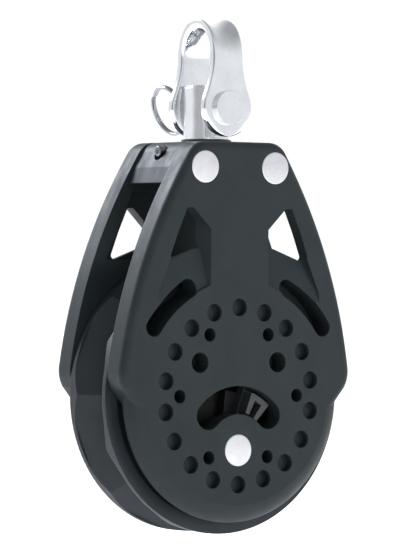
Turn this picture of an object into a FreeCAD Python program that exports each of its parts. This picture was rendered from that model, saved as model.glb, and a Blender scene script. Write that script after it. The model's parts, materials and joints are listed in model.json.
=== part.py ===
import FreeCAD, Part
import math
import os
import re
import Sketcher

# A single sheave ratchet block for a 14 mm line.
# X to the right, Y to the back, Z up; the origin is the centre of the sheave and the sheave turns about Y.
# Depths called inner, outer or half are distances from the middle plane, alike on the front and rear.

Vector = FreeCAD.Vector
Rotation = FreeCAD.Rotation
FRONT, REAR = -1, 1

SIZES = {
    # sheave
    "sheave_radius": 37.5, "sheave_half": 8.8, "recess_radius": 33.6, "recess_half": 6.8,
    "groove_floor": 29.3, "groove_rim": 36.8, "groove_half": 7.2, "groove_facets": 8,
    "bore_radius": 26.2, "hub_wall_radius": 28.8, "hub_wall_half": 12.4,
    # ratchet
    "ring_half": 6.5, "tooth_count": 24, "tooth_tip": 22.0, "tooth_root": 24.2, "tooth_phase": 2.5,
    "core_radius": 21.4, "core_half": 7.6,
    "pivot_across": 12.6, "pivot_up": 9.0, "pivot_pin": 1.5, "pivot_bore": 1.55,
    "pawl_front": 7.2, "pawl_rear": 4.0, "pawl_pocket_rear": 4.2, "pawl_length": 9.7,
    "pawl_eye": 2.9, "pawl_tail": 7.2, "pawl_rest": 67.4, "pawl_swing": 20.3,
    "spring_turns": 3, "spring_radius": 2.3, "spring_wire": 0.4, "spring_pitch": 0.7, "pin_tail": 2.6,
    # bearings
    "ball_count": 24, "ball_radius": 2.35, "ball_pitch": 23.8, "ball_depth": 9.6, "ball_pocket": 2.45,
    "cage_inside": 22.0, "cage_outside": 25.6, "cage_inner": 7.8, "cage_outer": 12.6,
    # cheeks
    "cheek_outer": 16.7, "cheek_inner": 9.3, "cheek_ceiling": 12.8, "edge_round": 2.2,
    "disc_face": 29.5, "disc_radius": 34.2, "disc_shoulder": 13.3, "disc_back": 12.0, "disc_curve": 7.0,
    "skirt_radius": 31.6, "skirt_inner": 7.4, "cavity_radius": 29.2,
    "cheek_top": 68.3, "cheek_hip": 61.4, "hip_half": 18.1, "ear_half": 37.1, "ear_up": 7.6,
    "arm_curve": 145.0, "ear_curve": 8.9, "crown_curve": 6.0,
    "spine_half": 8.6, "spine_foot": 11.8, "window_top": 50.4, "window_slant": 3.2, "corner_round": 1.0,
    "slot_pitch": 33.0, "slot_half": 2.5, "slot_start": 34.0, "slot_sweep": 27.0,
    "dimple_count": 18, "dimple_pitch": 23.8, "dimple_radius": 2.35, "dimple_depth": 2.4,
    "drain_count": 6, "drain_pitch": 19.0, "drain_radius": 1.8, "pivot_well": 2.7, "well_floor": 10.5,
    # switch
    "hub_drop": 14.6, "window_pitch": 13.5, "window_half": 3.8, "window_span": 46.0,
    "lever_well": 18.2, "lever_reach": 17.6, "lever_inner": 7.9, "lever_outer": 10.7, "lever_eye": 5.6,
    "lever_angle": 32.0, "lever_half": 13.0, "tab_outer": 14.6, "tab_half": 11.5, "tab_width": 2.9,
    "notch_reach": 1.3, "notch_half": 4.8, "hub_well": 6.4, "well_half": 62.0,
    "cam_reach": 17.8, "cam_inner": 4.9, "cam_half": 26.0,
    "step_depth": 1.8, "step_lag": 15.0, "step_half": 12.0,
    # rivets
    "hub_shank": 2.6, "hub_head": 4.3, "rivet_shank": 2.2, "rivet_head": 4.35, "rivet_across": 11.35,
    "head_depth": 1.2, "head_proud": 0.3, "rivet_gap": 0.05,
    # head and swivel
    "block_bottom": 58.0, "head_curve": 5.4, "bush_radius": 6.0, "shaft_radius": 4.5, "shaft_gap": 0.06,
    "shaft_bottom": 53.4, "collar_bottom": 53.9, "collar_top": 57.1, "collar_radius": 6.2,
    "washer_radius": 6.8, "washer_thick": 0.8, "end_play": 0.06,
    "post_radius": 6.2, "post_top": 83.8, "post_chamfer": 0.7, "tongue_half": 4.9,
    "screw_height": 65.7, "screw_radius": 1.5, "screw_tip": 5.0, "screw_tail": 15.9,
    "screw_mouth": 2.4, "mouth_depth": 13.6, "socket_radius": 0.8, "socket_depth": 1.6,
    # shackle
    "pin_height": 77.6, "pin_radius": 3.0, "pin_bore": 3.05, "pin_head": 4.7, "pin_head_depth": 1.4,
    "pin_end": 13.7, "cross_hole": 1.4, "cross_hole_depth": 12.1,
    "shackle_shift": -1.6, "leg_inner": 6.6, "leg_thick": 2.5, "leg_half": 4.8, "lobe_radius": 7.8,
    "bow_centre": 91.2, "bow_flare": 2.0, "bow_steps": 12,
    "ring_mean": 6.7, "ring_wire": 0.5, "ring_turn": 0.48, "ring_slack": 0.35,
}

doc = FreeCAD.newDocument("single_sheave_block")
sheet = doc.addObject("Spreadsheet::Sheet", "Sizes")
for row, (alias, size) in enumerate(SIZES.items(), start=1):
    sheet.set("A%d" % row, alias.replace("_", " "))
    sheet.set("B%d" % row, str(size))
    sheet.setAlias("B%d" % row, alias)
doc.recompute()

pieces = []


def bound(text):
    """The same formula with every size name pointing at the sheet."""
    return re.sub(r"[a-z_]+", lambda word: "Sizes." + word[0] if word[0] in SIZES else word[0], str(text))


def value(text):
    return float(sheet.evalExpression(bound(text)))


def bind(thing, **formulas):
    """Bind properties to the sheet; in a name, __ stands for a dot."""
    for name, formula in formulas.items():
        thing.setExpression(name.replace("__", "."), bound(formula))
    return thing


def place(thing, x="0", y="0", z="0", turn=Rotation()):
    thing.Placement = FreeCAD.Placement(Vector(value(x), value(y), value(z)), turn)
    return bind(thing, Placement__Base__x=x, Placement__Base__y=y, Placement__Base__z=z)


def span(side, inner, outer):
    """Low and high Y of a depth range on one side of the middle plane."""
    if side == REAR:
        return inner, outer
    return "-(%s)" % outer, "-(%s)" % inner


# ---- primitives ----------------------------------------------------------------------------------------

FACING_FRONT = Rotation(Vector(1, 0, 0), 90)


def cylinder(name, radius, low, high, x="0", z="0", start=0.0, sweep=360.0):
    """A cylinder along Y from low to high; start and sweep cut a sector, counter-clockwise from +X."""
    thing = doc.addObject("Part::Cylinder", name)
    bind(thing, Radius=radius, Height="(%s) - (%s)" % (high, low))
    thing.Angle = sweep
    return place(thing, x, high, z, FACING_FRONT * Rotation(Vector(0, 0, 1), start))


def upright(name, radius, low, high):
    """A cylinder along Z on the swivel axis."""
    thing = doc.addObject("Part::Cylinder", name)
    bind(thing, Radius=radius, Height="(%s) - (%s)" % (high, low))
    return place(thing, z=low)


def fuse(name, shapes):
    thing = doc.addObject("Part::MultiFuse", name)
    thing.Shapes = shapes
    return thing


def common(name, shapes):
    thing = doc.addObject("Part::MultiCommon", name)
    thing.Shapes = shapes
    return thing


def cut(name, base, tools):
    thing = doc.addObject("Part::Cut", name)
    thing.Base = base
    thing.Tool = tools[0] if len(tools) == 1 else fuse(name + "_tools", tools)
    return thing


def group(name, shapes):
    thing = doc.addObject("Part::Compound", name)
    thing.Links = shapes
    return thing


def rounded(name, base, radius_of):
    """Fillet the edges of base to which radius_of(edge) gives a radius."""
    doc.recompute()
    thing = doc.addObject("Part::Fillet", name)
    thing.Base = base
    radii = [(number, radius_of(edge)) for number, edge in enumerate(base.Shape.Edges, start=1)]
    thing.Edges = [(number, value(radius), value(radius)) for number, radius in radii if radius]
    return thing


# ---- sketched shapes -----------------------------------------------------------------------------------

def outline(body, name, plane, offset, corners):
    """A closed sketch. A corner is (x, y), or (x, y, radius) where an arc leads to the next corner:
    a positive radius has its centre on the left of the way round, a negative one on the right."""
    sketch = body.newObject("Sketcher::SketchObject", name)
    support = [item for item in body.Origin.OriginFeatures if item.Role == plane][0]
    sketch.AttachmentSupport = [(support, "")]
    sketch.MapMode = "FlatFace"
    bind(sketch, AttachmentOffset__Base__z=offset)
    points = [Vector(value(corner[0]), value(corner[1]), 0) for corner in corners]
    ends = []
    for number, corner in enumerate(corners):
        first, last = points[number], points[(number + 1) % len(points)]
        if len(corner) == 2:
            ends.append((sketch.addGeometry(Part.LineSegment(first, last), False), 1, 2))
            continue
        radius = value(corner[2])
        chord = last - first
        across = Vector(-chord.y, chord.x, 0).normalize() * math.copysign(1, radius)
        height = math.sqrt(radius ** 2 - (chord.Length / 2) ** 2)
        centre = first + chord * 0.5 + across * height
        low, high = (first, last) if radius > 0 else (last, first)
        angles = [math.atan2(point.y - centre.y, point.x - centre.x) for point in (low, high)]
        if angles[1] < angles[0]:
            angles[1] += 2 * math.pi
        circle = Part.Circle(centre, Vector(0, 0, 1), abs(radius))
        arc = sketch.addGeometry(Part.ArcOfCircle(circle, *angles), False)
        ends.append((arc, 1, 2) if radius > 0 else (arc, 2, 1))
        limit = sketch.addConstraint(Sketcher.Constraint("Radius", arc, abs(radius)))
        sketch.setExpression("Constraints[%d]" % limit, "abs(%s)" % bound(corner[2]))
    for number, corner in enumerate(corners):
        edge, first, last = ends[number]
        before = ends[number - 1]
        sketch.addConstraint(Sketcher.Constraint("Coincident", before[0], before[2], edge, first))
        for kind, formula in (("DistanceX", corner[0]), ("DistanceY", corner[1])):
            limit = sketch.addConstraint(Sketcher.Constraint(kind, -1, 1, edge, first, value(formula)))
            sketch.setExpression("Constraints[%d]" % limit, bound(formula))
    return sketch


def pad(body, name, plane, low, high, corners):
    """Add a prism to body between two depths: along -Y on XZ_Plane, along +Z on XY_Plane, +X on YZ_Plane."""
    offset = "-(%s)" % high if plane == "XZ_Plane" else low
    sketch = outline(body, name + "_outline", plane, offset, corners)
    feature = body.newObject("PartDesign::Pad", name + "_pad")
    feature.Profile = sketch
    bind(feature, Length="(%s) - (%s)" % (high, low))
    body.Tip = feature
    return feature


def prism(name, low, high, corners, plane="XZ_Plane"):
    body = doc.addObject("PartDesign::Body", name)
    pad(body, name, plane, low, high, corners)
    return body


def turned(name, plane, corners):
    """A body turned about the sketch's vertical axis: Y on XY_Plane, Z on XZ_Plane."""
    body = doc.addObject("PartDesign::Body", name)
    sketch = outline(body, name + "_profile", plane, "0", corners)
    feature = body.newObject("PartDesign::Revolution", name + "_turn")
    feature.Profile = sketch
    feature.ReferenceAxis = (sketch, ["V_Axis"])
    feature.Angle = 360.0
    body.Tip = feature
    return body


def deep(side, corners):
    """Corners (across, depth) or (across, depth, radius) on one side of the middle plane."""
    if side == REAR:
        return corners
    return [corner[:1] + tuple("-(%s)" % size for size in corner[1:]) for corner in corners]


def mirrored(corners):
    """The outline of straight sides on the left of the middle, given for the right."""
    return [("-(%s)" % across, up) for across, up in corners]


def polar(radius, degrees):
    """Sheet formulas for a point at an angle counter-clockwise from +X."""
    return "(%s) * cos(%s deg)" % (radius, degrees), "(%s) * sin(%s deg)" % (radius, degrees)


def around(name, count, pitch, radius, low, high, first=90.0):
    """Cylinders along Y on a circle about the sheave axis."""
    number = int(value(count))
    sites = [polar(pitch, first + index * 360.0 / number) for index in range(number)]
    return [cylinder("%s_%d" % (name, index), radius, low, high, *site)
            for index, site in enumerate(sites, start=1)]


def keep(node, thing):
    thing.Label = node
    pieces.append(thing)
    return thing


# ---- sheave and its bearings ---------------------------------------------------------------------------

def octagon(name, apothem, depth, turn):
    facets = int(value("groove_facets"))
    thing = doc.addObject("Part::RegularPolygon", name)
    thing.Polygon = facets
    bind(thing, Circumradius="(%s) / cos(%s deg)" % (apothem, 180.0 / facets))
    return place(thing, y=depth, turn=FACING_FRONT * Rotation(Vector(0, 0, 1), turn))


def groove_wall(name, side, turn):
    """Half of the eight-sided V, from its floor on the middle plane to its rim."""
    wall = doc.addObject("Part::Loft", name)
    rim_depth = "groove_half" if side == REAR else "-groove_half"
    wall.Sections = [octagon(name + "_floor", "groove_floor", "0", turn),
                     octagon(name + "_rim", "groove_rim", rim_depth, turn)]
    wall.Solid = True
    wall.Ruled = True
    return wall


def sheave():
    facet = 360.0 / value("groove_facets")
    rims = []
    for side, word in ((FRONT, "front"), (REAR, "rear")):
        low, high = span(side, "groove_half", "sheave_half")
        rims.append(cylinder("sheave_%s_rim" % word, "sheave_radius", low, high))
    blank = fuse("sheave_blank", [groove_wall("sheave_front_wall", FRONT, facet / 2),
                                  groove_wall("sheave_rear_wall", REAR, 0.0)] + rims)
    trimmed = common("sheave_trimmed", [blank, cylinder("sheave_envelope", "sheave_radius",
                                                        "-sheave_half", "sheave_half")])
    recesses = []
    walls = []
    for side, word in ((FRONT, "front"), (REAR, "rear")):
        low, high = span(side, "recess_half", "sheave_half + 1")
        recesses.append(cylinder("sheave_%s_recess" % word, "recess_radius", low, high))
        low, high = span(side, "recess_half", "hub_wall_half")
        walls.append(cylinder("sheave_%s_hub" % word, "hub_wall_radius", low, high))
    recessed = cut("sheave_recessed", trimmed, recesses)
    solid = fuse("sheave_solid", [recessed] + walls)
    bore = cylinder("sheave_bore", "bore_radius", "-hub_wall_half - 1", "hub_wall_half + 1")
    keep("sheave", cut("sheave_piece", solid, [bore]))


TOOTH_CREST, TOOTH_HEEL, TOOTH_TOE = 0.08, 0.40, 0.97     # where a tooth gap bends, in shares of a pitch


def ratchet_ring():
    """A ring pressed into the bore, with saw teeth pointing inwards."""
    count = int(value("tooth_count"))
    pitch = 360.0 / count
    body = turned("ratchet_ring_piece", "XY_Plane",
                  [("tooth_tip", "-ring_half"), ("bore_radius", "-ring_half"),
                   ("bore_radius", "ring_half"), ("tooth_tip", "ring_half")])
    first = 90 - value("tooth_phase")
    mouth = "tooth_tip - 0.5"
    gap = [polar(mouth, first - TOOTH_CREST * pitch), polar("tooth_root", first - TOOTH_HEEL * pitch),
           polar("tooth_root", first - TOOTH_TOE * pitch), polar(mouth, first - pitch)]
    sketch = outline(body, "tooth_gap", "XZ_Plane", "-(ring_half + 1)", gap)
    pocket = body.newObject("PartDesign::Pocket", "tooth_gap_pocket")
    pocket.Profile = sketch
    pocket.Reversed = True
    bind(pocket, Length="2 * ring_half + 2")
    pattern = body.newObject("PartDesign::PolarPattern", "tooth_gaps")
    pattern.Originals = [pocket]
    axis = [item for item in body.Origin.OriginFeatures if item.Role == "Y_Axis"][0]
    pattern.Axis = (axis, [""])
    pattern.Angle = 360.0
    pattern.Occurrences = count
    body.Tip = pattern
    keep("ratchet_ring", body)


def bearing(side, word):
    low, high = span(side, "cage_inner", "cage_outer")
    ring = cut(word + "_cage_ring", cylinder(word + "_cage_blank", "cage_outside", low, high),
               [cylinder(word + "_cage_bore", "cage_inside", low + " - 1", high + " + 1")])
    low, high = span(side, "cage_inner - 1", "cage_outer - 0.5")
    pockets = around(word + "_ball_pocket", "ball_count", "ball_pitch", "ball_pocket", low, high)
    keep(word + "_ball_cage", cut(word + "_cage", ring, pockets))
    balls = []
    count = int(value("ball_count"))
    depth = "ball_depth" if side == REAR else "-ball_depth"
    for index in range(count):
        ball = doc.addObject("Part::Sphere", "%s_ball_%d" % (word, index + 1))
        bind(ball, Radius="ball_radius")
        across, up = polar("ball_pitch", 90 + index * 360.0 / count)
        balls.append(place(ball, across, depth, up))
    keep(word + "_balls", group(word + "_ball_row", balls))


# ---- cheeks --------------------------------------------------------------------------------------------

CROWN_SLOPE = 120.8     # heading of the arm's edge where it meets the crown, degrees
CROWN_REACH = "crown_curve * tan(29.6 deg)"
EAR_FOOT = [("31.1", "-4.0"), ("36.0", "1.9", "ear_curve")]
# outlines on the right arm, as (across, up), and the ramp, as (depth, up)
HOLLOW = [("26", "36.4"), ("17.6", "55")]
WINDOW = [("spine_foot", "40.0"), ("21.4", "36.3"), ("22.4", "37.3"), ("19.8", "44.1"),
          ("16.5", "window_top"), ("spine_foot + window_slant", "window_top"),
          ("spine_foot", "window_top - window_slant")]
POCKET = [("spine_half", "30.2"), ("26.6", "22.0"), ("26.0", "28.0"), ("21.9", "37.5"),
          ("19.8", "44.1"), ("17.0", "window_top"), ("spine_foot + window_slant", "window_top"),
          ("spine_half", "window_top - spine_foot - window_slant + spine_half")]
BEVEL = [("spine_half + 0.06", "cheek_outer + 1"), ("spine_foot", "cheek_ceiling"),
         ("30", "cheek_ceiling"), ("30", "cheek_outer + 1")]
RAMP = [("cheek_outer + 1", "22"), ("cheek_outer - 0.2", "26"), ("cheek_outer - 2.9", "39.6"),
        ("cheek_ceiling - 0.1", "39.6"), ("cheek_ceiling - 0.1", "window_top + 1"),
        ("cheek_outer + 1", "window_top + 1")]


def arm_outline():
    """The cheek's flat shield: ears at the bottom, straight crown at the top."""
    rise = "(cheek_top - cheek_hip)"
    corner = "(hip_half + %s / tan(%s deg))" % (rise, CROWN_SLOPE)
    right = EAR_FOOT + [
             ("ear_half", "ear_up", "arm_curve"),
             ("hip_half", "cheek_hip"),
             ("%s - %s * cos(%s deg)" % (corner, CROWN_REACH, CROWN_SLOPE),
              "cheek_top - %s * sin(%s deg)" % (CROWN_REACH, CROWN_SLOPE), "crown_curve"),
             ("%s - %s" % (corner, CROWN_REACH), "cheek_top")]
    left = [("-(%s)" % point[0], point[1]) for point in reversed(right)]
    for number, radius in ((0, "crown_curve"), (2, "arm_curve"), (3, "ear_curve")):
        left[number] += (radius,)
    return right + left


def cheek_shell(side, word):
    """The shield and the round lower disc as one moulding, hollow on its inner side."""
    low, high = span(side, "cheek_inner", "cheek_outer")
    shield = prism(word + "_shield", low, high, arm_outline())
    face = side * value("cheek_outer")
    softened = rounded(word + "_shield_soft", shield, lambda edge: "edge_round" if max(
        abs(edge.BoundBox.YMin - face), abs(edge.BoundBox.YMax - face)) < 0.01 else None)
    low, high = span(side, "cheek_inner - 1", "cheek_ceiling")
    clearing = cylinder(word + "_shield_clearing", "cavity_radius", low, high)
    hollow = prism(word + "_arm_hollow", low, high, mirrored(HOLLOW[:1]) + HOLLOW + mirrored(HOLLOW[1:]))
    opened = cut(word + "_shield_open", softened, [clearing, hollow])
    disc = turned(word + "_disc", "XY_Plane", deep(side, [
        ("0", "core_half"), ("core_radius", "core_half"), ("core_radius", "cheek_ceiling"),
        ("cavity_radius", "cheek_ceiling"), ("cavity_radius", "skirt_inner"),
        ("skirt_radius", "skirt_inner"), ("skirt_radius", "disc_back"), ("disc_radius", "disc_back"),
        ("disc_radius", "disc_shoulder", "disc_curve"), ("disc_face", "cheek_outer"), ("0", "cheek_outer")]))
    return fuse(word + "_shell", [opened, disc])


def corner_along_y(edge):
    """The radius of a corner that runs along Y."""
    box = edge.BoundBox
    return "corner_round" if box.YLength > 1 and max(box.XLength, box.ZLength) < 0.01 else None


def arm_cutters(side, word):
    """On each arm: a window right through, a ramp that falls towards it and a curved slot below."""
    tools = []
    through = span(side, "cheek_inner - 3", "cheek_outer + 1")
    to_ceiling = span(side, "cheek_ceiling - 1", "cheek_outer + 1")
    fall = [("-(%s)" % depth if side == FRONT else depth, up) for depth, up in RAMP]
    start, sweep = value("slot_start"), value("slot_sweep")
    for hand, label in ((1, "right"), (-1, "left")):
        name = "%s_%s" % (word, label)
        flip = mirrored if hand < 0 else list
        tools.append(rounded(name + "_window_soft", prism(name + "_window", *through, flip(WINDOW)),
                             corner_along_y))
        slope = prism(name + "_ramp", "8" if hand > 0 else "-30", "30" if hand > 0 else "-8", fall, "YZ_Plane")
        pocket = prism(name + "_pocket_outline", *to_ceiling, flip(POCKET))
        bevel = prism(name + "_spine_bevel", "22", "window_top", flip(deep(side, BEVEL)), "XY_Plane")
        tools.append(common(name + "_pocket", [pocket, bevel, slope]))
        first = start if hand > 0 else 180.0 - start - sweep
        sector = cut(name + "_slot_sector",
                     cylinder(name + "_slot_out", "slot_pitch + slot_half", *through, start=first, sweep=sweep),
                     [cylinder(name + "_slot_in", "slot_pitch - slot_half", *through)])
        ends = [cylinder("%s_slot_end_%d" % (name, number), "slot_half", *through, *polar("slot_pitch", angle))
                for number, angle in enumerate((first, first + sweep), start=1)]
        tools.append(fuse(name + "_slot", [sector] + ends))
    return tools


def hole_cutters(side, word):
    through = span(side, "core_half - 1", "cheek_outer + 1")
    tools = around(word + "_dimple", "dimple_count", "dimple_pitch", "dimple_radius",
                   *span(side, "cheek_outer - dimple_depth", "cheek_outer + 1"))
    tools += around(word + "_drain", "drain_count", "drain_pitch", "drain_radius", *through, first=60.0)
    sites = [("-pivot_across", "pivot_up"), ("pivot_across", "pivot_up")]
    for number, site in enumerate(sites, start=1):
        tools.append(cylinder("%s_pivot_well_%d" % (word, number), "pivot_well",
                              *span(side, "well_floor", "cheek_outer + 1"), *site))
        tools.append(cylinder("%s_pivot_hole_%d" % (word, number), "pivot_pin", *through, *site))
    seats = [("hub", "hub_shank", "hub_head", "0", "-hub_drop"),
             ("rivet_left", "rivet_shank", "rivet_head", "-rivet_across", "cheek_hip"),
             ("rivet_right", "rivet_shank", "rivet_head", "rivet_across", "cheek_hip")]
    for label, shank, head, across, up in seats:
        tools.append(cylinder("%s_%s_hole" % (word, label), shank + " + rivet_gap", *through, across, up))
        tools.append(cylinder("%s_%s_seat" % (word, label), head + " + rivet_gap",
                              *span(side, "cheek_outer - head_depth", "cheek_outer + 1"), across, up))
    return tools


def hub_sector(name, radius, low, high, middle, spread):
    """A sector about the hub rivet; middle is counted clockwise from straight up."""
    return cylinder(name, radius, low, high, "0", "-hub_drop", start=90.0 - middle - spread, sweep=2 * spread)


def switch_cutters():
    """The kidney window of the ratchet switch, and the well behind it in which the lever swings."""
    reach = value("window_span")
    through = span(FRONT, "core_half + 2", "cheek_outer + 1")
    band = cut("switch_window_band",
               hub_sector("switch_window_out", "window_pitch + window_half", *through, 0.0, reach),
               [cylinder("switch_window_in", "window_pitch - window_half", *through, "0", "-hub_drop")])
    ends = []
    for number, angle in enumerate((90.0 - reach, 90.0 + reach), start=1):
        across, up = polar("window_pitch", angle)
        ends.append(cylinder("switch_window_end_%d" % number, "window_half", *through,
                             across, up + " - hub_drop"))
    well = span(FRONT, "core_half - 1", "lever_outer + 0.3")
    return [fuse("switch_window", [band] + ends),
            hub_sector("switch_well_sector", "lever_well", *well, 0.0, value("well_half")),
            cylinder("switch_well_hub", "hub_well", *well, "0", "-hub_drop")]


def cheek(side, word):
    tools = arm_cutters(side, word) + hole_cutters(side, word)
    if side == FRONT:
        tools += switch_cutters()
    keep(word + "_cheek", cut(word + "_cheek_piece", cheek_shell(side, word), tools))


# ---- ratchet core, pawls and switch --------------------------------------------------------------------

PIVOT_ANGLE = math.degrees(math.atan2(SIZES["pivot_up"], SIZES["pivot_across"]))
HUB_ANGLE = math.degrees(math.atan2(SIZES["pivot_up"] + SIZES["hub_drop"], SIZES["pivot_across"]))
PAWLS = (
    # name, side, heading of the arm with the pawl drawn in, heading of the tail that meets the cam
    ("right", 1, PIVOT_ANGLE - SIZES["pawl_rest"], 180.0 + HUB_ANGLE - SIZES["pawl_swing"] / 2),
    ("left", -1, 180.0 - PIVOT_ANGLE - SIZES["pawl_rest"], 360.0 - HUB_ANGLE - SIZES["pawl_swing"] / 2),
)


PAWL_ARM = [("0", "-2.4"), ("pawl_length - 0.5", "-1.9"), ("pawl_length", "0"), ("0", "2.3")]
PAWL_TAIL = [("0", "-1.6"), ("pawl_tail", "-1"), ("pawl_tail", "1"), ("0", "1.6")]


def pivot_site(hand):
    return ("pivot_across" if hand > 0 else "-pivot_across"), "pivot_up"


ARM_ROOM, TAIL_ROOM = 46.0, 24.0     # degrees of a pocket beyond the pawl's arm and tail


def ratchet_core():
    """The fixed drum between the cheeks, with a pocket for each pawl and a shallow well for the cam."""
    swing = value("pawl_swing")
    depth = ("-core_half - 1", "pawl_pocket_rear")
    tools = [cylinder("core_hub_hole", "hub_shank + rivet_gap", "-core_half - 1", "core_half + 1",
                      "0", "-hub_drop")]
    for word, hand, arm, tail in PAWLS:
        site = pivot_site(hand)
        tools += [
            cylinder("core_%s_eye" % word, "pawl_eye + 0.6", *depth, *site),
            cylinder("core_%s_arm" % word, "pawl_length + 1.0", *depth, *site,
                     start=arm - ARM_ROOM, sweep=swing + ARM_ROOM + 34),
            cylinder("core_%s_tail" % word, "pawl_tail + 1.6", *depth, *site,
                     start=tail - TAIL_ROOM, sweep=swing + 2 * TAIL_ROOM),
            cylinder("core_%s_spring" % word, "pawl_eye + 0.1", "pawl_pocket_rear - 1", "core_half - 0.5",
                     *site),
            cylinder("core_%s_pin" % word, "pivot_pin", "0", "core_half + 1", *site)]
    well = ("-core_half - 1", "-(cam_inner - 0.2)")
    tools += [hub_sector("core_cam_well", "cam_reach + 0.4", *well, 0.0, value("well_half") + 4),
              cylinder("core_cam_hub", "hub_well", *well, "0", "-hub_drop")]
    drum = cylinder("core_drum", "core_radius", "-core_half", "core_half")
    keep("ratchet_core", cut("ratchet_core_piece", drum, tools))


def pawl(word, hand, arm, tail):
    """A bell crank: a long arm with a square tip for the teeth, a short round-ended tail for the cam."""
    def turned_to(along, aside, heading):
        across, up = pivot_site(hand)
        return ("%s + (%s) * cos(%s deg) - (%s) * sin(%s deg)" % (across, along, heading, aside, heading),
                "%s + (%s) * sin(%s deg) + (%s) * cos(%s deg)" % (up, along, heading, aside, heading))

    depth = ("-pawl_front", "pawl_rear")
    site = pivot_site(hand)
    parts = [prism("pawl_%s_arm" % word, *depth, [turned_to(*corner, arm) for corner in PAWL_ARM]),
             prism("pawl_%s_tail" % word, *depth, [turned_to(*corner, tail) for corner in PAWL_TAIL]),
             cylinder("pawl_%s_tail_end" % word, "1", *depth, *turned_to("pawl_tail", "0", tail)),
             cylinder("pawl_%s_eye" % word, "pawl_eye", *depth, *site)]
    bore = cylinder("pawl_%s_bore" % word, "pivot_bore", "-pawl_front - 1", "pawl_rear + 1", *site)
    keep("pawl_" + word, cut("pawl_%s_piece" % word, fuse("pawl_%s_blank" % word, parts), [bore]))


def pawl_spring(word, hand):
    """Turns of wire round the pivot pin, behind the pawl."""
    across, up = pivot_site(hand)
    turns = []
    for number in range(int(value("spring_turns"))):
        turn = doc.addObject("Part::Torus", "pawl_spring_%s_turn_%d" % (word, number + 1))
        bind(turn, Radius1="spring_radius", Radius2="spring_wire")
        depth = "pawl_pocket_rear + 1.5 * spring_wire + spring_pitch * %d" % number
        turns.append(place(turn, across, depth, up, FACING_FRONT))
    keep("pawl_spring_" + word, fuse("pawl_spring_%s_piece" % word, turns))


def pawl_pins():
    low, high = "-(core_half + pin_tail)", "core_half + pin_tail"
    keep("pawl_pins", group("pawl_pin_pair", [
        cylinder("pawl_pin_" + word, "pivot_pin", low, high, *pivot_site(hand)) for word, hand, _, _ in PAWLS]))


def switch_lever():
    """A lever on the hub rivet with a small fork-shaped finger tab that stands in the kidney window."""
    angle = value("lever_angle")
    hub = ("0", "-hub_drop")
    plate = ("-lever_outer", "-lever_inner")
    arm = hub_sector("lever_arm", "lever_reach", *plate, angle, value("lever_half"))
    eye = cylinder("lever_eye_ring", "lever_eye", *plate, *hub)
    depth = ("-tab_outer", "-lever_outer + 0.5")
    notch = hub_sector("lever_tab_notch", "window_pitch + notch_reach", "-tab_outer - 1", "-lever_outer - 0.4",
                       angle, value("notch_half"))
    finger = hub_sector("lever_tab_out", "window_pitch + tab_width", *depth, angle, value("tab_half"))
    tab = cut("lever_tab", finger, [cylinder("lever_tab_in", "window_pitch - tab_width", *depth, *hub), notch])
    bore = cylinder("lever_bore", "hub_shank + shaft_gap", "-lever_outer - 1", "-lever_inner + 1", *hub)
    keep("switch_lever", cut("switch_lever_piece", fuse("lever_blank", [arm, eye, tab]), [bore]))


def pawl_cam():
    """The plate under the lever, whose edge lets the pawl tails swing."""
    angle = value("lever_angle")
    hub = ("0", "-hub_drop")
    depth = ("-lever_inner", "-cam_inner")
    past = ("-lever_inner - 1", "-cam_inner + 1")
    blank = fuse("cam_blank", [hub_sector("cam_sector", "cam_reach", *depth, angle, value("cam_half")),
                               cylinder("cam_eye", "lever_eye", *depth, *hub)])
    step = cut("cam_step", hub_sector("cam_step_out", "cam_reach + 1", *past, angle - value("step_lag"),
                                      value("step_half")),
               [cylinder("cam_step_in", "cam_reach - step_depth", *past, *hub)])
    bore = cylinder("cam_bore", "hub_shank + shaft_gap", *past, *hub)
    keep("pawl_cam", cut("pawl_cam_piece", blank, [step, bore]))


def rivet(name, shank, head, across, up):
    """A through rivet with a flat head set into each cheek."""
    parts = [cylinder(name + "_shank", shank, "-cheek_outer", "cheek_outer", across, up)]
    for side, word in ((FRONT, "front"), (REAR, "rear")):
        low, high = span(side, "cheek_outer - head_depth", "cheek_outer + head_proud")
        parts.append(cylinder("%s_%s_head" % (name, word), head, low, high, across, up))
    return fuse(name + "_piece", parts)


def rivets():
    keep("hub_rivet", rivet("hub_rivet", "hub_shank", "hub_head", "0", "-hub_drop"))
    keep("head_rivets", group("head_rivet_pair", [
        rivet("head_rivet_left", "rivet_shank", "rivet_head", "-rivet_across", "cheek_hip"),
        rivet("head_rivet_right", "rivet_shank", "rivet_head", "rivet_across", "cheek_hip")]))


# ---- head and swivel -----------------------------------------------------------------------------------

def lengthwise(name, radius, low, high, height):
    """A cylinder along X."""
    thing = doc.addObject("Part::Cylinder", name)
    bind(thing, Radius=radius, Height="(%s) - (%s)" % (high, low))
    return place(thing, low, "0", height, Rotation(Vector(0, 1, 0), 90))


HEAD_SIDE = [("19.0", "block_bottom - 1"), ("17.3", "cheek_hip"), ("14.9", "65.2"), ("10.3", "cheek_top")]
HEAD_WAIST = ("9.0", "block_bottom")


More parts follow.
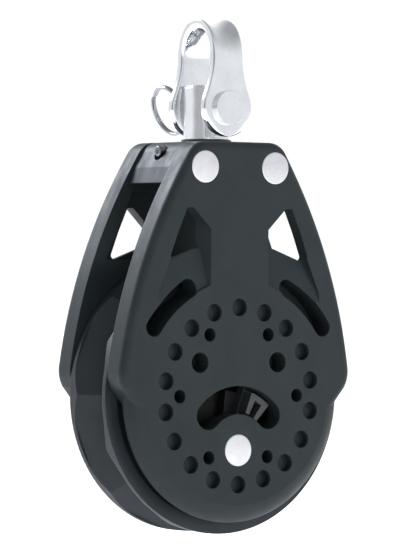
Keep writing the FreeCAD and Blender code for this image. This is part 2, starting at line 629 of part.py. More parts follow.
def head_block():
    (foot, step, shoulder, crown), waist = HEAD_SIDE, [HEAD_WAIST]
    right = [foot, step, shoulder + ("head_curve",), crown]
    left = mirrored([crown])[0] + ("head_curve",), *mirrored([shoulder, step, foot])
    blank = prism("head_block_blank", "-cheek_inner", "cheek_inner",
                  right + list(left) + mirrored(waist) + waist)
    tools = [upright("head_block_bore", "bush_radius", "block_bottom - 2", "cheek_top + 1"),
             lengthwise("head_block_thread", "screw_radius + 0.05", "-20", "-bush_radius + 1", "screw_height"),
             lengthwise("head_block_screw_mouth", "screw_mouth", "-20", "-mouth_depth", "screw_height")]
    for word, across in (("left", "-rivet_across"), ("right", "rivet_across")):
        tools.append(cylinder("head_block_rivet_" + word, "rivet_shank + rivet_gap", "-cheek_inner - 1",
                              "cheek_inner + 1", across, "cheek_hip"))
    keep("head_block", cut("head_block_piece", blank, tools))


def tube(name, outside, inside, low, high):
    return cut(name, upright(name + "_outside", outside, low, high),
               [upright(name + "_inside", inside, low + " - 1", high + " + 1")])


def swivel():
    bush = cut("post_bush_piece", upright("bush_outside", "bush_radius", "block_bottom", "cheek_top"),
               [upright("bush_inside", "shaft_radius + shaft_gap", "block_bottom - 1", "cheek_top + 1"),
                lengthwise("bush_screw_hole", "screw_radius + 0.1", "-bush_radius - 1", "-1", "screw_height")])
    keep("post_bush", bush)
    keep("thrust_washers", group("thrust_washer_pair", [
        tube("top_washer", "washer_radius", "shaft_radius + 0.1", "cheek_top", "cheek_top + washer_thick"),
        tube("bottom_washer", "washer_radius - 0.2", "shaft_radius + 0.1",
             "block_bottom - washer_thick", "block_bottom")]))
    keep("post_collar", tube("post_collar_piece", "collar_radius", "shaft_radius",
                             "collar_bottom", "collar_top"))
    shoulder = "cheek_top + washer_thick + end_play"
    post = turned("swivel_post_blank", "XZ_Plane", [
        ("0", "shaft_bottom"), ("shaft_radius - 0.4", "shaft_bottom"), ("shaft_radius", "shaft_bottom + 0.4"),
        ("shaft_radius", shoulder), ("post_radius", shoulder), ("post_radius", "post_top - post_chamfer"),
        ("post_radius - post_chamfer", "post_top"), ("0", "post_top")])
    tools = [cylinder("swivel_post_eye", "pin_bore", "-post_radius - 1", "post_radius + 1", "0", "pin_height")]
    for side, word in ((FRONT, "front"), (REAR, "rear")):
        flat = doc.addObject("Part::Box", "swivel_post_%s_flat" % word)
        bind(flat, Length="2 * post_radius", Width="post_radius", Height="post_top")
        tools.append(place(flat, "-post_radius", span(side, "tongue_half", "tongue_half + post_radius")[0],
                           "pin_height - lobe_radius - 0.2"))
    keep("swivel_post", cut("swivel_post_piece", post, tools))
    shank = lengthwise("lock_screw_shank", "screw_radius", "-screw_tail", "-screw_tip", "screw_height")
    socket = lengthwise("lock_screw_socket", "socket_radius", "-screw_tail - 1", "-screw_tail + socket_depth",
                        "screw_height")
    keep("lock_screw", cut("lock_screw_piece", shank, [socket]))


# ---- shackle -------------------------------------------------------------------------------------------

def strap_section(centre, outward, half, thick, flare):
    """One cross-section of the strap: flat, or with both edges raised outwards by flare."""
    sag = max(flare, 0.02)
    side = Vector(half, 0, 0)
    low = [centre - side + outward * sag, centre, centre + side + outward * sag]
    high = [point + outward * thick for point in low]
    return Part.Wire([Part.Arc(*low).toShape(), Part.LineSegment(low[2], high[2]).toShape(),
                      Part.Arc(*reversed(high)).toShape(), Part.LineSegment(high[0], low[0]).toShape()])


def bow():
    """The top of the strap: half a turn, dished like a saddle at its crest."""
    inner, steps = value("leg_inner"), int(value("bow_steps"))
    centre = Vector(0, value("shackle_shift"), value("bow_centre"))
    sections = []
    for step in range(steps + 1):
        angle = math.pi * step / steps
        outward = Vector(0, -math.cos(angle), math.sin(angle))
        sections.append(strap_section(centre + outward * inner, outward, value("leg_half"),
                                      value("leg_thick"), value("bow_flare") * math.sin(angle) ** 2))
    thing = doc.addObject("Part::Feature", "shackle_bow")
    thing.Shape = Part.makeLoft(sections, True, False)
    return thing


def shackle():
    """A stamped strap: two flat legs with round eyes for the pin, joined by the bow. It sits to the front on
    its pin, as far as the post's flats let it slide."""
    parts = [bow()]
    for side, word in ((FRONT, "front"), (REAR, "rear")):
        low, high = [depth + " + shackle_shift" for depth in span(side, "leg_inner", "leg_inner + leg_thick")]
        leg = doc.addObject("Part::Box", "shackle_%s_leg" % word)
        bind(leg, Length="2 * leg_half", Width="leg_thick", Height="bow_centre - pin_height")
        parts.append(place(leg, "-leg_half", low, "pin_height"))
        parts.append(cylinder("shackle_%s_eye" % word, "lobe_radius", low, high, "0", "pin_height"))
    hole = cylinder("shackle_pin_hole", "pin_radius", "-20", "20", "0", "pin_height")
    keep("shackle", cut("shackle_piece", fuse("shackle_blank", parts), [hole]))


HOLE_LEAN = 20.0    # the pin's cross-hole leans to the left of straight up, degrees


def clevis_pin():
    front = "(shackle_shift - leg_inner - leg_thick)"
    blank = fuse("clevis_pin_blank", [
        cylinder("clevis_pin_shank", "pin_radius", front, "pin_end", "0", "pin_height"),
        cylinder("clevis_pin_head", "pin_head", front + " - pin_head_depth", front, "0", "pin_height")])
    hole = doc.addObject("Part::Cylinder", "clevis_pin_cross_hole")
    bind(hole, Radius="cross_hole", Height="4 * pin_radius")
    reach = "2 * pin_radius"
    place(hole, "%s * sin(%s deg)" % (reach, HOLE_LEAN), "cross_hole_depth",
          "pin_height - %s * cos(%s deg)" % (reach, HOLE_LEAN), Rotation(Vector(0, 1, 0), -HOLE_LEAN))
    keep("clevis_pin", cut("clevis_pin_piece", blank, [hole]))


def split_ring():
    """Two turns of wire side by side through the pin's cross-hole."""
    turns = []
    upright_plane = Rotation(Vector(0, 1, 0), 90 - HOLE_LEAN)
    for number, way in enumerate((-1, 1), start=1):
        turn = doc.addObject("Part::Torus", "split_ring_turn_%d" % number)
        bind(turn, Radius1="ring_mean", Radius2="ring_wire")
        turns.append(place(turn, "%d * ring_turn * cos(%s deg)" % (way, HOLE_LEAN),
                           "cross_hole_depth + ring_mean - ring_slack",
                           "pin_height + %d * ring_turn * sin(%s deg)" % (way, HOLE_LEAN), upright_plane))
    keep("split_ring", fuse("split_ring_piece", turns))


# ---- the block -----------------------------------------------------------------------------------------

for side, word in ((FRONT, "front"), (REAR, "rear")):
    cheek(side, word)
    bearing(side, word)
sheave()
ratchet_ring()
ratchet_core()
for word, hand, arm, tail in PAWLS:
    pawl(word, hand, arm, tail)
    pawl_spring(word, hand)
pawl_pins()
switch_lever()
pawl_cam()
rivets()
head_block()
swivel()
shackle()
clevis_pin()
split_ring()

doc.recompute()
for thing in doc.Objects:
    if "Invalid" in thing.State or "Error" in thing.State:
        raise SystemExit("%s did not compute: %s" % (thing.Name, thing.State))
for piece in pieces:
    if piece.Shape.isNull() or not piece.Shape.isValid() or not piece.Shape.Solids:
        raise SystemExit("%s has no valid solid" % piece.Label)

os.makedirs("parts", exist_ok=True)
for piece in pieces:
    piece.Shape.exportStep("parts/%s.step" % piece.Label)
    box = piece.Shape.BoundBox
    print("%-20s %2d solid(s) %9.1f mm3  x %6.1f %6.1f  y %6.1f %6.1f  z %6.1f %6.1f" % (
        piece.Label, len(piece.Shape.Solids), piece.Shape.Volume,
        box.XMin, box.XMax, box.YMin, box.YMax, box.ZMin, box.ZMax))
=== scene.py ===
import json
import math

import bmesh
import bpy
from mathutils import Matrix, Vector


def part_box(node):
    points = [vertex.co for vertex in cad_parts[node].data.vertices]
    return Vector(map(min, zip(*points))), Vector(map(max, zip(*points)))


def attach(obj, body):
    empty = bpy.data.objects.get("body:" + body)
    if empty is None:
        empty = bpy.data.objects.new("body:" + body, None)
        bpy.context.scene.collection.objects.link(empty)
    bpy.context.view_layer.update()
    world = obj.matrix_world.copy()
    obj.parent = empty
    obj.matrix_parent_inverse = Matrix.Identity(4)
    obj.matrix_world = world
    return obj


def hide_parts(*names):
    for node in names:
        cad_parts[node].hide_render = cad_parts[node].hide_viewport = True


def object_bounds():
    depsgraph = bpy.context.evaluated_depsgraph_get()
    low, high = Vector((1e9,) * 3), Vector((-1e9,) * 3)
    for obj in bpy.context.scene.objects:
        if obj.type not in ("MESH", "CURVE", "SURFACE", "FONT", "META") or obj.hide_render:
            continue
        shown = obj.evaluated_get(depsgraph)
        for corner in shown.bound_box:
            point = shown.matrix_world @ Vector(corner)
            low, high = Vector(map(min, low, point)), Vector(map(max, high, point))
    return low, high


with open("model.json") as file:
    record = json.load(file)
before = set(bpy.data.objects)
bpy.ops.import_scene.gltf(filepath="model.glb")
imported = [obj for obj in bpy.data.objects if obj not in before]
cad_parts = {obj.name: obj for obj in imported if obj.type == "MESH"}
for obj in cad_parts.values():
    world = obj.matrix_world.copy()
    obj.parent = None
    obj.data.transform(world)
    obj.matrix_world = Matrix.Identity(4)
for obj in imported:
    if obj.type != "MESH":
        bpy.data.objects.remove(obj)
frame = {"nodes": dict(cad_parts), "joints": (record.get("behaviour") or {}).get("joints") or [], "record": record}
cad_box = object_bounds()
nodes = frame["nodes"]
joints = {joint["name"]: joint for joint in frame["joints"]}
MM = 0.001


# ---- places taken from the frame -----------------------------------------------------------------------

LOW, HIGH = (Vector(corner) for corner in cad_box)
PIN_AXIS = Vector(joints["shackle_swing"]["pos_m"])
RING_LEAN = Vector(joints["ring_swing"]["axis"]).normalized()
HUB_AXIS = Vector(joints["switch_turn"]["pos_m"])


# ---- materials -----------------------------------------------------------------------------------------

class Shader:
    """A node tree being built, with short calls for the nodes that repeat."""

    def __init__(self, name):
        self.material = bpy.data.materials.new(name)
        self.material.use_nodes = True
        self.tree = self.material.node_tree
        self.tree.nodes.clear()
        self.shader = self.add("ShaderNodeBsdfPrincipled")
        output = self.add("ShaderNodeOutputMaterial")
        self.link(self.shader.outputs[0], output.inputs["Surface"])

    def add(self, kind, **settings):
        node = self.tree.nodes.new(kind)
        for name, setting in settings.items():
            setattr(node, name, setting)
        return node

    def link(self, source, target):
        self.tree.links.new(source, target)

    def set(self, **values):
        """Constants on the principled shader; __ in a name stands for a space."""
        for name, setting in values.items():
            self.shader.inputs[name.replace("__", " ")].default_value = setting

    def place(self, scale=(1, 1, 1)):
        """Object coordinates, so a pattern stays on the piece."""
        coordinates = self.add("ShaderNodeTexCoord")
        mapping = self.add("ShaderNodeMapping")
        mapping.inputs["Scale"].default_value = scale
        self.link(coordinates.outputs["Object"], mapping.inputs["Vector"])
        return mapping.outputs["Vector"]

    def noise(self, vector, scale, detail, roughness):
        node = self.add("ShaderNodeTexNoise")
        self.link(vector, node.inputs["Vector"])
        node.inputs["Scale"].default_value = scale
        node.inputs["Detail"].default_value = detail
        node.inputs["Roughness"].default_value = roughness
        return node.outputs["Fac"]

    def span(self, value, low, high):
        """Stretch the useful middle of a noise to the range from low to high."""
        node = self.add("ShaderNodeMapRange")
        self.link(value, node.inputs["Value"])
        node.inputs["From Min"].default_value = 0.3
        node.inputs["From Max"].default_value = 0.7
        node.inputs["To Min"].default_value = low
        node.inputs["To Max"].default_value = high
        return node.outputs["Result"]

    def ramp(self, value, stops):
        """A blend between two stops, each a position and a colour."""
        node = self.add("ShaderNodeValToRGB")
        self.link(value, node.inputs["Fac"])
        for element, (position, colour) in zip(node.color_ramp.elements, stops):
            element.position = position
            element.color = (*colour, 1)
        return node.outputs["Color"]

    def soft_edges(self, radius):
        """A normal that rounds the piece's edges over radius, in metres."""
        node = self.add("ShaderNodeBevel", samples=6)
        node.inputs["Radius"].default_value = radius
        return node.outputs["Normal"]

    def bump(self, heights, normal=None):
        """Stack bumps on a normal, each a height, its distance in metres and its strength."""
        for height, distance, strength in heights:
            node = self.add("ShaderNodeBump")
            self.link(height, node.inputs["Height"])
            node.inputs["Distance"].default_value = distance
            node.inputs["Strength"].default_value = strength
            if normal:
                self.link(normal, node.inputs["Normal"])
            normal = node.outputs["Normal"]
        self.link(normal, self.shader.inputs["Normal"])


def moulded(name, dark, light, roughness, specular):
    """Glass-filled nylon: a fine moulded grain, faint flow marks and slightly uneven gloss."""
    shader = Shader(name)
    place = shader.place()
    cloud = shader.noise(place, scale=90, detail=5, roughness=0.62)
    flow = shader.noise(shader.place((1, 1, 0.25)), scale=260, detail=3, roughness=0.55)
    fibre = shader.noise(place, scale=2600, detail=2, roughness=0.5)
    tone = shader.ramp(cloud, ((0.30, dark), (0.72, light)))
    shader.link(tone, shader.shader.inputs["Base Color"])
    shader.link(shader.span(flow, roughness - 0.07, roughness + 0.08), shader.shader.inputs["Roughness"])
    shader.bump(((fibre, 0.03 * MM, 0.55), (cloud, 0.05 * MM, 0.25)), shader.soft_edges(0.40 * MM))
    shader.set(Specular__IOR__Level=specular)
    return shader.material


def steel(name, colour, roughness, brushed=(1, 1, 1)):
    """Stainless steel: fine scratches and a slightly uneven polish. brushed stretches the scratches."""
    shader = Shader(name)
    haze = shader.noise(shader.place(), scale=160, detail=4, roughness=0.6)
    lines = shader.noise(shader.place(brushed), scale=900, detail=3, roughness=0.7)
    darker = tuple(channel * 0.86 for channel in colour)
    shader.link(shader.ramp(haze, ((0.28, darker), (0.68, colour))), shader.shader.inputs["Base Color"])
    polish = shader.span(lines, roughness * 0.70, roughness * 1.35)
    shader.link(polish, shader.shader.inputs["Roughness"])
    shader.bump(((lines, 0.004 * MM, 0.5),), shader.soft_edges(0.25 * MM))
    shader.set(Metallic=1.0)
    return shader.material


def anodised(name, dark, light, roughness):
    """Hard-anodised aluminium: turned lines round the Y axis, the sheave's axle, and a dull sheen."""
    shader = Shader(name)
    place = shader.place()
    cloud = shader.noise(place, scale=70, detail=5, roughness=0.6)
    fine = shader.noise(place, scale=1800, detail=2, roughness=0.6)
    split = shader.add("ShaderNodeSeparateXYZ")
    shader.link(place, split.inputs[0])
    across = shader.add("ShaderNodeCombineXYZ")
    shader.link(split.outputs["X"], across.inputs["X"])
    shader.link(split.outputs["Z"], across.inputs["Y"])
    length = shader.add("ShaderNodeVectorMath", operation="LENGTH")
    shader.link(across.outputs[0], length.inputs[0])
    rings = shader.add("ShaderNodeTexNoise", noise_dimensions="1D")
    shader.link(length.outputs["Value"], rings.inputs["W"])
    rings.inputs["Scale"].default_value = 2200
    shader.link(shader.ramp(cloud, ((0.30, dark), (0.75, light))), shader.shader.inputs["Base Color"])
    shader.link(shader.span(fine, roughness - 0.06, roughness + 0.10), shader.shader.inputs["Roughness"])
    turned = (rings.outputs["Fac"], 0.010 * MM, 0.5)
    shader.bump((turned, (fine, 0.006 * MM, 0.4)), shader.soft_edges(0.40 * MM))
    shader.set(Metallic=0.0, Specular__IOR__Level=0.28)
    return shader.material


def plain_plastic(name, colour, roughness):
    """Acetal or nylon of a small turned or moulded piece, slightly cloudy and finely grained."""
    shader = Shader(name)
    place = shader.place()
    cloud = shader.noise(place, scale=240, detail=4, roughness=0.6)
    grain = shader.noise(place, scale=2400, detail=2, roughness=0.5)
    darker = tuple(channel * 0.88 for channel in colour)
    shader.link(shader.ramp(cloud, ((0.3, darker), (0.7, colour))), shader.shader.inputs["Base Color"])
    shader.link(shader.span(cloud, roughness - 0.05, roughness + 0.07), shader.shader.inputs["Roughness"])
    shader.bump(((grain, 0.012 * MM, 0.4),))
    return shader.material


def stage_white():
    """A matt white that glows a little, so that the floor meets the surround without a line."""
    shader = Shader("stage_white")
    shader.set(Base__Color=(0.80, 0.80, 0.80, 1), Roughness=0.9, Emission__Color=(1, 1, 1, 1),
               Emission__Strength=0.72)
    return shader.material


CHEEK_DARK, CHEEK_LIGHT = (0.0145, 0.0205, 0.0225), (0.0195, 0.0258, 0.0282)
HEAD_DARK, HEAD_LIGHT = (0.0145, 0.0205, 0.0235), (0.0195, 0.0258, 0.0300)
SHEAVE_DARK, SHEAVE_LIGHT = (0.012, 0.016, 0.020), (0.021, 0.026, 0.031)
CORE_DARK, CORE_LIGHT = (0.004, 0.0045, 0.005), (0.007, 0.0075, 0.008)

MATERIALS = {
    "cheek_nylon": moulded("cheek_nylon", CHEEK_DARK, CHEEK_LIGHT, roughness=0.50, specular=0.20),
    "head_nylon": moulded("head_nylon", HEAD_DARK, HEAD_LIGHT, roughness=0.48, specular=0.24),
    "sheave_anodised": anodised("sheave_anodised", SHEAVE_DARK, SHEAVE_LIGHT, roughness=0.50),
    "core_alloy": anodised("core_alloy", CORE_DARK, CORE_LIGHT, roughness=0.50),
    "shackle_stainless": steel("shackle_stainless", (0.86, 0.87, 0.90), roughness=0.10),
    "post_stainless": steel("post_stainless", (0.90, 0.91, 0.93), roughness=0.20, brushed=(14, 14, 1)),
    "ring_stainless": steel("ring_stainless", (0.36, 0.37, 0.39), roughness=0.30),
    "rivet_stainless": steel("rivet_stainless", (0.72, 0.72, 0.75), roughness=0.34, brushed=(3, 1, 3)),
    "ratchet_steel": steel("ratchet_steel", (0.20, 0.21, 0.23), roughness=0.36),
    "spring_steel": steel("spring_steel", (0.50, 0.50, 0.52), roughness=0.22),
    "bush_acetal": plain_plastic("bush_acetal", (0.030, 0.034, 0.038), roughness=0.40),
    "cage_nylon": plain_plastic("cage_nylon", (0.006, 0.007, 0.008), roughness=0.60),
    "ball_acetal": plain_plastic("ball_acetal", (0.60, 0.60, 0.57), roughness=0.25),
    "lever_acetal": plain_plastic("lever_acetal", (0.034, 0.039, 0.042), roughness=0.45),
}


# ---- mesh helpers --------------------------------------------------------------------------------------

def mesh_object(name, mesh, slot, body):
    """A smooth piece in the scene, on its body and with its material."""
    for polygon in mesh.polygons:
        polygon.use_smooth = True
    piece = bpy.data.objects.new(name, mesh)
    bpy.context.scene.collection.objects.link(piece)
    piece.data.materials.append(MATERIALS[slot])
    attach(piece, body)
    return piece


def loops_to_mesh(name, loops):
    """A skin over a row of closed loops with the same number of points, and a face over each end."""
    grid = bmesh.new()
    rows = [[grid.verts.new(point) for point in loop] for loop in loops]
    for one, two in zip(rows, rows[1:]):
        for index in range(len(one)):
            after = (index + 1) % len(one)
            grid.faces.new((one[index], one[after], two[after], two[index]))
    grid.faces.new(list(reversed(rows[0])))
    grid.faces.new(rows[-1])
    bmesh.ops.recalc_face_normals(grid, faces=grid.faces)
    mesh = bpy.data.meshes.new(name)
    grid.to_mesh(mesh)
    grid.free()
    return mesh


def around(steps):
    """Even angles round a circle."""
    return [2 * math.pi * step / steps for step in range(steps)]


def lathe(name, profile, origin, axis):
    """A closed solid turned about axis; profile is (radius, distance along the axis) from end to end."""
    along = Vector(axis).normalized()
    side = along.orthogonal().normalized()
    up = along.cross(side)
    loops = []
    for radius, distance in profile:
        centre = Vector(origin) + along * distance
        loops.append([centre + (side * math.cos(turn) + up * math.sin(turn)) * radius for turn in around(96)])
    return loops_to_mesh(name, loops)


def join_meshes(name, meshes):
    grid = bmesh.new()
    for mesh in meshes:
        grid.from_mesh(mesh)
    joined = bpy.data.meshes.new(name)
    grid.to_mesh(joined)
    grid.free()
    return joined


# ---- shackle -------------------------------------------------------------------------------------------

def rounded_section(half, thick, corner):
    """Points round a flat bar with rounded corners, as (across the bar, through the bar)."""
    flat_half = half - corner
    flat_thick = thick / 2 - corner
    quarter = math.pi / 2
    flat_steps = 7
    corner_steps = 4

    def flat(level, direction):
        return [(direction * (2 * flat_half * step / flat_steps - flat_half), level)
                for step in range(flat_steps + 1)]

    def corner_arc(across, through, quarters):
        turns = [quarter * (quarters + step / corner_steps) for step in range(1, corner_steps)]
        return [(across + corner * math.cos(turn), through + corner * math.sin(turn)) for turn in turns]

    return (flat(-thick / 2, 1)
            + corner_arc(flat_half, -flat_thick, -1)
            + [(half, -flat_thick), (half, flat_thick)]
            + corner_arc(flat_half, flat_thick, 0)
            + flat(thick / 2, -1)
            + corner_arc(-flat_half, flat_thick, 1)
            + [(-half, flat_thick), (-half, -flat_thick)]
            + corner_arc(-flat_half, -flat_thick, 2))


def build_shackle():
    """One strap bent over the bow: round eyes at its feet and a crest dished like a saddle."""
    low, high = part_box("shackle")
    thick = 2.5 * MM
    widest_corner = 0.8 * MM
    outer = (high.y - low.y) / 2
    centre_y = (high.y + low.y) / 2
    middle = outer - thick / 2
    eye_radius = PIN_AXIS.z - low.z
    leg_half = 4.8 * MM
    flare = 2.0 * MM
    bow_z = high.z - flare - outer
    eye_end = 3.0 * MM
    leg_start = 14.0 * MM
    eye_first, eye_step, eye_loops = 4.0, 5.2, 20
    leg_loops = 22
    bow_loops = 36

    def half_width(up):
        """Half of the strap's width at a height above the pin: eye, smooth blend, straight leg."""
        if up <= eye_end:
            return math.sqrt(max(eye_radius ** 2 - up ** 2, 0))
        if up >= leg_start:
            return leg_half
        eye_half = math.sqrt(eye_radius ** 2 - eye_end ** 2)
        eye_slope = -eye_end / eye_half
        length = leg_start - eye_end
        t = (up - eye_end) / length
        return ((2 * t ** 3 - 3 * t ** 2 + 1) * eye_half
                + (t ** 3 - 2 * t ** 2 + t) * eye_slope * length
                + (3 * t ** 2 - 2 * t ** 3) * leg_half)

    heights = [-eye_radius * math.cos(math.radians(eye_first + eye_step * loop)) for loop in range(eye_loops)]
    eye_top = heights[-1]
    leg_top = bow_z - PIN_AXIS.z
    heights += [eye_top + (leg_top - eye_top) * loop / leg_loops for loop in range(1, leg_loops)]

    def section(centre, outward, half, rise):
        corner = min(widest_corner, half * 0.45)
        return [centre + Vector((across, 0, 0)) + outward * (through + rise * (across / half) ** 2)
                for across, through in rounded_section(half, thick, corner)]

    def leg_section(side, up):
        centre = Vector((0, centre_y + side * middle, PIN_AXIS.z + up))
        return section(centre, Vector((0, side, 0)), half_width(up), 0.0)

    def bow_section(turn):
        outward = Vector((0, -math.cos(turn), math.sin(turn)))
        return section(Vector((0, centre_y, bow_z)) + outward * middle, outward, leg_half,
                       flare * math.sin(turn) ** 2)

    front_leg = [leg_section(-1, up) for up in heights]
    bow = [bow_section(math.pi * loop / bow_loops) for loop in range(bow_loops + 1)]
    rear_leg = [leg_section(1, up) for up in reversed(heights)]
    mesh = loops_to_mesh("shackle_strap", front_leg + bow + rear_leg)
    piece = mesh_object("shackle_strap", mesh, "shackle_stainless", "shackle")
    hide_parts("shackle")


def build_split_ring():
    """One wire wound twice round, sprung flat against itself, with cut ends."""
    low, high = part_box("split_ring")
    wire = 0.5 * MM
    pitch = 0.52 * MM
    outer = (high.y - low.y) / 2
    mean = outer - wire
    centre = Vector((0, high.y - outer, PIN_AXIS.z))
    reach = Vector((0, 1, 0))
    axis = RING_LEAN.cross(reach).normalized()
    windings = 2
    steps = 72 * windings
    first_turn = math.radians(40)
    cut_size = 0.55
    loops = []
    for step in range(steps + 1):
        share = step / steps
        turn = first_turn + 2 * math.pi * windings * share
        radial = reach * math.cos(turn) + RING_LEAN * math.sin(turn)
        travel = (RING_LEAN * math.cos(turn) - reach * math.sin(turn)).normalized()
        up = travel.cross(radial).normalized()
        point = centre + radial * mean + axis * (share - 0.5) * pitch * windings
        radius = wire * (cut_size if step in (0, steps) else 1)
        loops.append([point + (radial * math.cos(angle) + up * math.sin(angle)) * radius
                      for angle in around(16)])
    mesh = loops_to_mesh("split_ring_wire", loops)
    piece = mesh_object("split_ring_wire", mesh, "ring_stainless", "split_ring")
    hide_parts("split_ring")


# ---- rivets and screw ----------------------------------------------------------------------------------

def rivet_profile(shank, head, tip):
    """Half of a rivet from its middle outwards: shank, then a low domed head with a soft edge."""
    point = 0.02 * MM
    dome = 0.3 * MM
    face = tip - dome
    soft = 0.35 * MM
    chamfer = 0.1 * MM
    under = face - 1.2 * MM
    brim = face - 0.05 * MM
    edge_share = 0.6
    edge_steps = 5
    dome_steps = 7
    crown = head - soft
    profile = [(point, 0), (shank, 0), (shank, under)]
    profile += [(head - chamfer, under), (head, under + chamfer), (head, brim)]
    for step in range(1, edge_steps + 1):
        turn = math.pi / 2 * step / edge_steps
        profile.append((crown + soft * math.cos(turn), brim + dome * edge_share * math.sin(turn)))
    for step in range(1, dome_steps + 1):
        radius = crown * (1 - step / dome_steps)
        rise = dome * (edge_share + (1 - edge_share) * (1 - (radius / crown) ** 2))
        profile.append((max(radius, point), brim + rise))
    return profile


def build_rivets(node, sites, shank, head):
    """Domed rivets at sites, each an (x, z), with a head on either cheek."""
    profile = rivet_profile(shank, head, tip=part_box(node)[1].y)
    meshes = []
    for number, (x, z) in enumerate(sites):
        for direction in (-1, 1):
            meshes.append(lathe("%s_%d" % (node, number), profile, (x, 0, z), (0, direction, 0)))
    piece = mesh_object(node + "_domed", join_meshes(node + "_domed", meshes), "rivet_stainless", "frame")
    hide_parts(node)


def build_head_rivets():
    low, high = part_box("head_rivets")
    head = (high.z - low.z) / 2
    x = high.x - head
    z = (high.z + low.z) / 2
    build_rivets("head_rivets", [(-x, z), (x, z)], shank=2.2 * MM, head=head)


def build_hub_rivet():
    low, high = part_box("hub_rivet")
    build_rivets("hub_rivet", [(0, HUB_AXIS.z)], shank=2.6 * MM, head=(high.z - low.z) / 2)


def build_lock_screw():
    """A set screw: a hexagon socket, thread ridges and a flat point."""
    low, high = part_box("lock_screw")
    radius = (high.z - low.z) / 2
    length = high.x - low.x
    start = Vector((low.x, 0, (high.z + low.z) / 2))
    socket_half = 0.85 * MM
    socket_depth = 1.3 * MM
    socket_centre = 0.01 * MM
    mouth = 0.25 * MM
    pitch = 0.5 * MM
    first_ridge = 0.2 * MM
    crest = 0.12 * MM
    root_place = 0.25 * MM
    root_depth = 0.18 * MM
    tip_step = 0.4 * MM
    sixth = math.pi / 3

    def loop(distance, reach):
        """Points round the screw; reach is a radius for each angle."""
        return [start + Vector((distance, reach(turn) * math.cos(turn), reach(turn) * math.sin(turn)))
                for turn in around(48)]

    def hexagon(turn):
        return socket_half / math.cos((turn + sixth / 2) % sixth - sixth / 2)

    profile = [(radius - mouth, 0)]
    for ridge in range(int(length / pitch) - 1):
        place = first_ridge + ridge * pitch
        profile += [(radius, place), (radius, place + crest), (radius - root_depth, place + root_place)]
    profile.append((radius - tip_step, length))
    loops = [loop(socket_depth, lambda turn: socket_centre), loop(socket_depth, hexagon), loop(0.0, hexagon)]
    loops += [loop(distance, lambda turn: level) for level, distance in profile]
    mesh = loops_to_mesh("lock_screw_socket", loops)
    piece = mesh_object("lock_screw_socket", mesh, "ratchet_steel", "frame")
    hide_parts("lock_screw")


# ---- the CAD pieces that stay --------------------------------------------------------------------------

SLOTS = {entry["node"]: entry["material_slot"] for entry in frame["record"]["subparts"]}


def dress_cad():
    """Give each CAD piece the material of its slot."""
    for name, piece in nodes.items():
        piece.data.materials.clear()
        piece.data.materials.append(MATERIALS[SLOTS[name]])


# ---- stage ---------------------------------------------------------------------------------------------

def area_light(name, place, aim, size, power, colour):
    light = bpy.data.lights.new(name, "AREA")
    light.shape = "RECTANGLE"
    light.size, light.size_y = size
    light.energy = power
    light.color = colour
    lamp = bpy.data.objects.new(name, light)
    lamp.location = place
    lamp.rotation_euler = (Vector(aim) - Vector(place)).to_track_quat("-Z", "Y").to_euler()
    bpy.context.scene.collection.objects.link(lamp)
    return lamp


def build_stage():
    """A pale floor below the hanging block, a bright surround, and soft light from behind and in front."""
    drop = 0.045
    size = 6.0
    corners = [(-size, -size), (size, -size), (size, size), (-size, size)]
    mesh = bpy.data.meshes.new("floor")
    mesh.from_pydata([(x, y, LOW.z - drop) for x, y in corners], [], [(0, 1, 2, 3)])
    floor = bpy.data.objects.new("floor", mesh)
    floor.data.materials.append(stage_white())
    bpy.context.scene.collection.objects.link(floor)

    bpy.context.scene.world = studio_world()
    middle = (LOW + HIGH) / 2
    cool, white = (0.86, 0.91, 1.0), (1, 1, 1)
    area_light("back_left_softbox", (-0.24, 0.74, 0.57), middle, (0.40, 0.40), 9.0, cool)
    fill = area_light("front_right_fill", (0.38, -0.88, 0.16), middle, (0.24, 0.24), 3.9, white)
    fill.visible_glossy = False


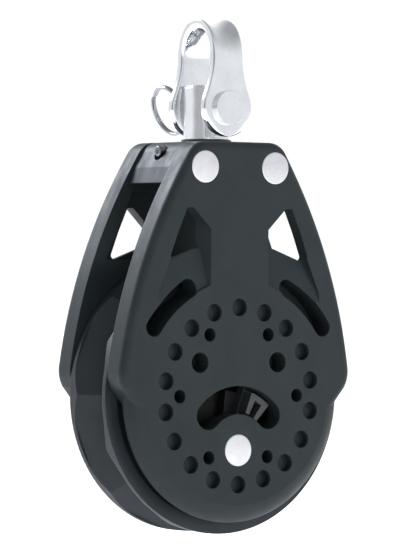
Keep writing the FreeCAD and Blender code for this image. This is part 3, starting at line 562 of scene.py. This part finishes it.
def studio_world():
    """A bright surround that is dimmer overhead, in front, at the left and a little at the back left."""
    world = bpy.data.worlds.new("studio")
    world.use_nodes = True
    tree = world.node_tree
    background = tree.nodes["Background"]
    coordinates = tree.nodes.new("ShaderNodeTexCoord")

    def toward(direction, stops):
        """Brightness by how near a ray is to a direction, from -1 to 1, blended between two stops."""
        dot = tree.nodes.new("ShaderNodeVectorMath")
        dot.operation = "DOT_PRODUCT"
        tree.links.new(coordinates.outputs["Generated"], dot.inputs[0])
        dot.inputs[1].default_value = Vector(direction).normalized()
        spread = tree.nodes.new("ShaderNodeMapRange")
        spread.inputs["From Min"].default_value = -1
        tree.links.new(dot.outputs["Value"], spread.inputs["Value"])
        ramp = tree.nodes.new("ShaderNodeValToRGB")
        tree.links.new(spread.outputs["Result"], ramp.inputs["Fac"])
        for element, (nearness, level) in zip(ramp.color_ramp.elements, stops):
            element.position = (nearness + 1) / 2
            element.color = (level, level, level, 1)
        return ramp.outputs["Color"]

    def times(one, two):
        """One colour times another, which is an output or a constant."""
        node = tree.nodes.new("ShaderNodeMix")
        node.data_type = "RGBA"
        node.blend_type = "MULTIPLY"
        node.inputs["Factor"].default_value = 1
        tree.links.new(one, node.inputs["A"])
        if isinstance(two, tuple):
            node.inputs["B"].default_value = two
        else:
            tree.links.new(two, node.inputs["B"])
        return node.outputs["Result"]

    overhead = toward((0, 0, 1), ((0.30, 1.0), (0.90, 0.42)))
    front = toward((0.20, -1, 0), ((0.20, 1.0), (0.60, 0.88)))
    left = toward((-0.95, -0.30, 0), ((0.74, 1.0), (0.96, 0.30)))
    band = toward((-0.62, 0.78, -0.12), ((0.80, 1.0), (0.93, 0.86)))
    cool = (0.96, 0.98, 1.0, 1)
    surround = times(times(times(overhead, front), times(left, band)), cool)
    tree.links.new(surround, background.inputs["Color"])
    background.inputs["Strength"].default_value = 1.06
    return world


def build_camera():
    """The photograph's view: level with the middle of the block, from the front left."""
    azimuth = math.radians(-34)
    distance = 1.115
    roll = math.radians(0.5)
    half_view_slope = 0.067073
    camera = bpy.data.cameras.new("camera")
    camera.sensor_fit = "VERTICAL"
    camera.angle = 2 * math.atan(half_view_slope)
    target = Vector((0, 0, (LOW.z + HIGH.z) / 2))
    place = target + Vector((math.sin(azimuth), -math.cos(azimuth), 0)) * distance
    turn = (target - place).to_track_quat("-Z", "Y").to_matrix().to_4x4() @ Matrix.Rotation(roll, 4, "Z")
    eye = bpy.data.objects.new("camera", camera)
    eye.matrix_world = Matrix.Translation(place) @ turn
    bpy.context.scene.collection.objects.link(eye)
    bpy.context.scene.camera = eye


build_shackle()
build_split_ring()
build_head_rivets()
build_hub_rivet()
build_lock_screw()
dress_cad()
build_stage()
build_camera()
bpy.context.scene.view_settings.view_transform = "Standard"
